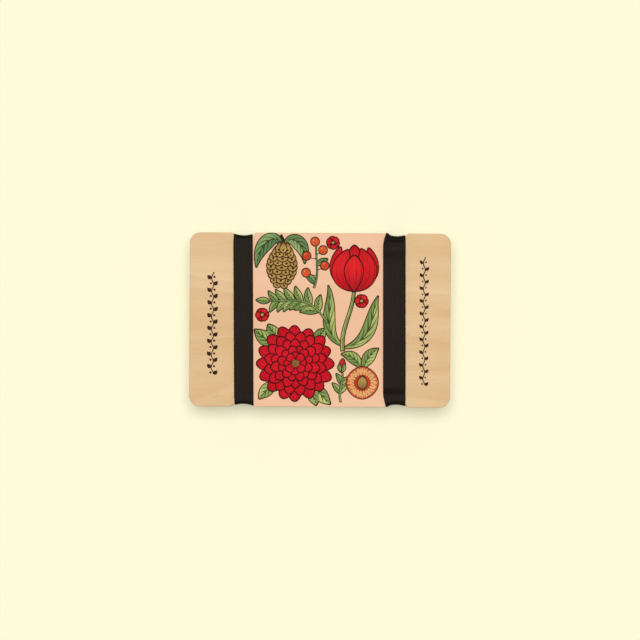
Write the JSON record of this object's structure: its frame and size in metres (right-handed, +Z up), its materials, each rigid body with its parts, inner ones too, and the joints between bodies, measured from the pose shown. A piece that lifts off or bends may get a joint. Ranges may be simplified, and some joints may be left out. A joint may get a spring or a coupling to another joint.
{
  "type": "flower press",
  "caption": "Flower press: two notched plywood boards squeeze corrugated cards and blotting papers, held by two elastic bands, with a printed panel between the bands.",
  "frame": {"origin": "middle of the surface that the closed press lies on, under the middle of its outline", "axes": "+X along the press's length towards the right band, +Y across it, +Z up through the stack"},
  "size_m": [0.15, 0.1, 0.0243],
  "materials": {
    "plywood": "fine sanded, clear",
    "ink": "matte print",
    "elastic": "woven, matte",
    "thread": "twisted, matte",
    "card": "brown kraft",
    "blotting_paper": "soft, matte"
  },
  "bodies": {
    "base": {"base_plate": "plywood"},
    "lid": {"top_plate": "plywood", "printed_panel": "ink"},
    "card_1": {"card_1": "card"},
    "blotter_1": {"blotter_1": "blotting_paper"},
    "blotter_2": {"blotter_2": "blotting_paper"},
    "card_2": {"card_2": "card"},
    "blotter_3": {"blotter_3": "blotting_paper"},
    "blotter_4": {"blotter_4": "blotting_paper"},
    "card_3": {"card_3": "card"},
    "blotter_5": {"blotter_5": "blotting_paper"},
    "blotter_6": {"blotter_6": "blotting_paper"},
    "card_4": {"card_4": "card"},
    "blotter_7": {"blotter_7": "blotting_paper"},
    "blotter_8": {"blotter_8": "blotting_paper"},
    "card_5": {"card_5": "card"},
    "blotter_9": {"blotter_9": "blotting_paper"},
    "blotter_10": {"blotter_10": "blotting_paper"},
    "card_6": {"card_6": "card"},
    "left_band": {"left_band_bottom": "elastic", "left_band_sides": "elastic", "left_band_stitching": "thread"},
    "left_band_upper": {"left_band_top": "elastic"},
    "right_band": {"right_band_bottom": "elastic", "right_band_sides": "elastic", "right_band_stitching": "thread"},
    "right_band_upper": {"right_band_top": "elastic"}
  },
  "joints": [
    {"name": "lid_lift", "type": "slide", "parent": "base", "child": "lid", "axis": [0, 0, 1], "range_m": [0, 0.051]},
    {"name": "card_1_lift", "type": "slide", "parent": "base", "child": "card_1", "axis": [0, 0, 1], "range_m": [0, 0.00301]},
    {"name": "blotter_1_lift", "type": "slide", "parent": "base", "child": "blotter_1", "axis": [0, 0, 1], "range_m": [0, 0.00601]},
    {"name": "blotter_2_lift", "type": "slide", "parent": "base", "child": "blotter_2", "axis": [0, 0, 1], "range_m": [0, 0.00901]},
    {"name": "card_2_lift", "type": "slide", "parent": "base", "child": "card_2", "axis": [0, 0, 1], "range_m": [0, 0.01201]},
    {"name": "blotter_3_lift", "type": "slide", "parent": "base", "child": "blotter_3", "axis": [0, 0, 1], "range_m": [0, 0.01501]},
    {"name": "blotter_4_lift", "type": "slide", "parent": "base", "child": "blotter_4", "axis": [0, 0, 1], "range_m": [0, 0.01801]},
    {"name": "card_3_lift", "type": "slide", "parent": "base", "child": "card_3", "axis": [0, 0, 1], "range_m": [0, 0.02101]},
    {"name": "blotter_5_lift", "type": "slide", "parent": "base", "child": "blotter_5", "axis": [0, 0, 1], "range_m": [0, 0.02401]},
    {"name": "blotter_6_lift", "type": "slide", "parent": "base", "child": "blotter_6", "axis": [0, 0, 1], "range_m": [0, 0.02701]},
    {"name": "card_4_lift", "type": "slide", "parent": "base", "child": "card_4", "axis": [0, 0, 1], "range_m": [0, 0.03001]},
    {"name": "blotter_7_lift", "type": "slide", "parent": "base", "child": "blotter_7", "axis": [0, 0, 1], "range_m": [0, 0.03301]},
    {"name": "blotter_8_lift", "type": "slide", "parent": "base", "child": "blotter_8", "axis": [0, 0, 1], "range_m": [0, 0.03601]},
    {"name": "card_5_lift", "type": "slide", "parent": "base", "child": "card_5", "axis": [0, 0, 1], "range_m": [0, 0.03901]},
    {"name": "blotter_9_lift", "type": "slide", "parent": "base", "child": "blotter_9", "axis": [0, 0, 1], "range_m": [0, 0.04201]},
    {"name": "blotter_10_lift", "type": "slide", "parent": "base", "child": "blotter_10", "axis": [0, 0, 1], "range_m": [0, 0.04501]},
    {"name": "card_6_lift", "type": "slide", "parent": "base", "child": "card_6", "axis": [0, 0, 1], "range_m": [0, 0.04801]},
    {"name": "left_band_slide", "type": "slide", "parent": "base", "child": "left_band", "axis": [-1, 0, 0], "range_m": [0, 0.05]},
    {"name": "left_band_stretch", "type": "slide", "parent": "left_band", "child": "left_band_upper", "axis": [0, 0, 1], "range_m": [0, 0.051], "deforming": ["left_band_sides"]},
    {"name": "right_band_slide", "type": "slide", "parent": "base", "child": "right_band", "axis": [1, 0, 0], "range_m": [0, 0.05]},
    {"name": "right_band_stretch", "type": "slide", "parent": "right_band", "child": "right_band_upper", "axis": [0, 0, 1], "range_m": [0, 0.051], "deforming": ["right_band_sides"]}
  ],
  "couplings": [
    {"joint": "card_1_lift", "follows": "lid_lift", "ratio": 0.058824},
    {"joint": "blotter_1_lift", "follows": "lid_lift", "ratio": 0.11765},
    {"joint": "blotter_2_lift", "follows": "lid_lift", "ratio": 0.17647},
    {"joint": "card_2_lift", "follows": "lid_lift", "ratio": 0.23529},
    {"joint": "blotter_3_lift", "follows": "lid_lift", "ratio": 0.29412},
    {"joint": "blotter_4_lift", "follows": "lid_lift", "ratio": 0.35294},
    {"joint": "card_3_lift", "follows": "lid_lift", "ratio": 0.41176},
    {"joint": "blotter_5_lift", "follows": "lid_lift", "ratio": 0.47059},
    {"joint": "blotter_6_lift", "follows": "lid_lift", "ratio": 0.52941},
    {"joint": "card_4_lift", "follows": "lid_lift", "ratio": 0.58823},
    {"joint": "blotter_7_lift", "follows": "lid_lift", "ratio": 0.64706},
    {"joint": "blotter_8_lift", "follows": "lid_lift", "ratio": 0.70588},
    {"joint": "card_5_lift", "follows": "lid_lift", "ratio": 0.76471},
    {"joint": "blotter_9_lift", "follows": "lid_lift", "ratio": 0.82353},
    {"joint": "blotter_10_lift", "follows": "lid_lift", "ratio": 0.88235},
    {"joint": "card_6_lift", "follows": "lid_lift", "ratio": 0.94118},
    {"joint": "left_band_stretch", "follows": "lid_lift", "ratio": 1},
    {"joint": "right_band_stretch", "follows": "lid_lift", "ratio": 1}
  ]
}
